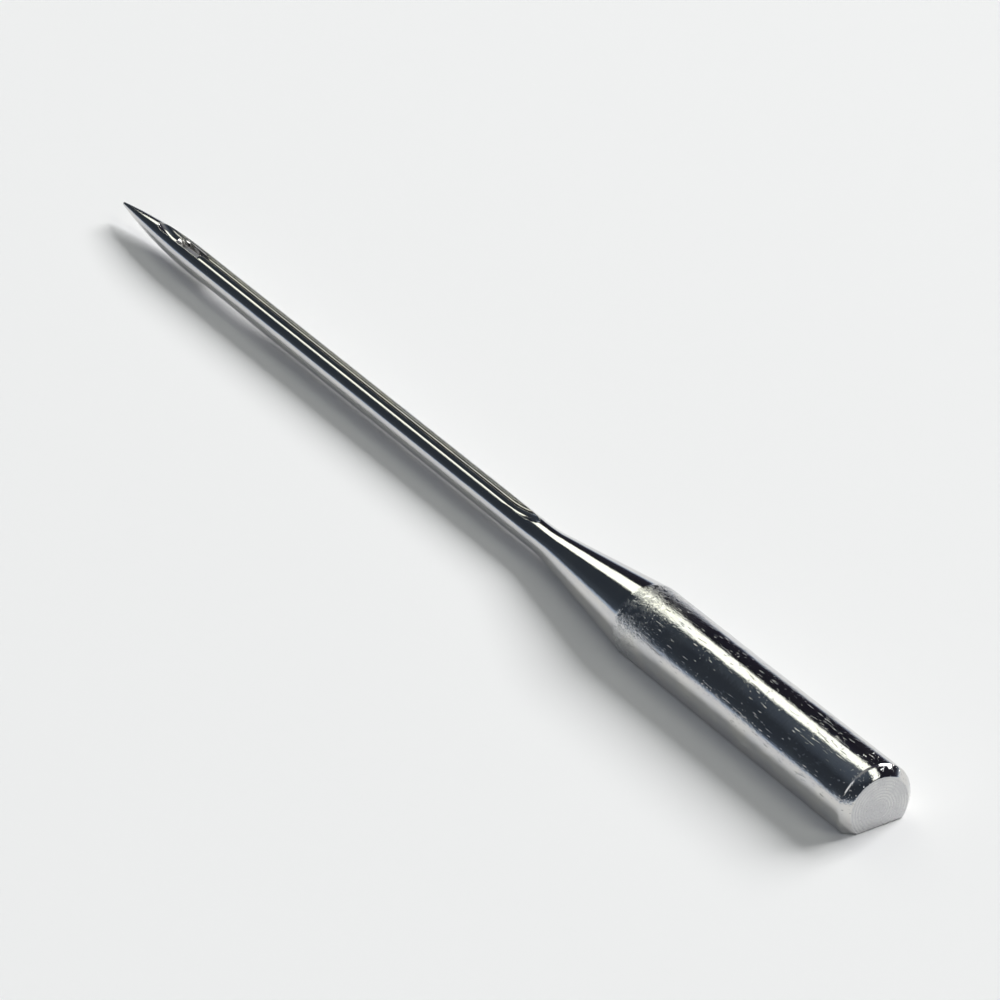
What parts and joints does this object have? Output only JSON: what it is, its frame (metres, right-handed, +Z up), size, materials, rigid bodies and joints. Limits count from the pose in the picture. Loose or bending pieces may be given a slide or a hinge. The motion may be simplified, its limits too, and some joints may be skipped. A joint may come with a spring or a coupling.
{
  "type": "sewing machine needle",
  "caption": "Straight steel needle for a sewing machine, with a D-section shank, tapered shoulder, grooved blade, scarf, eye and slim point.",
  "frame": {"origin": "middle of the needle's length and width, on the plane of the shank's flat that it lies on", "axes": "+X along the needle from its point to its butt end, +Z up out of the flat, towards the side of the long groove"},
  "size_m": [0.0384, 0.002, 0.0015],
  "materials": {
    "plated_steel": "bright nickel-plated steel, polished lengthwise, with fine scratches and pits, and a finely ground flat"
  },
  "bodies": {
    "root": {"needle": "plated_steel"}
  },
  "joints": []
}
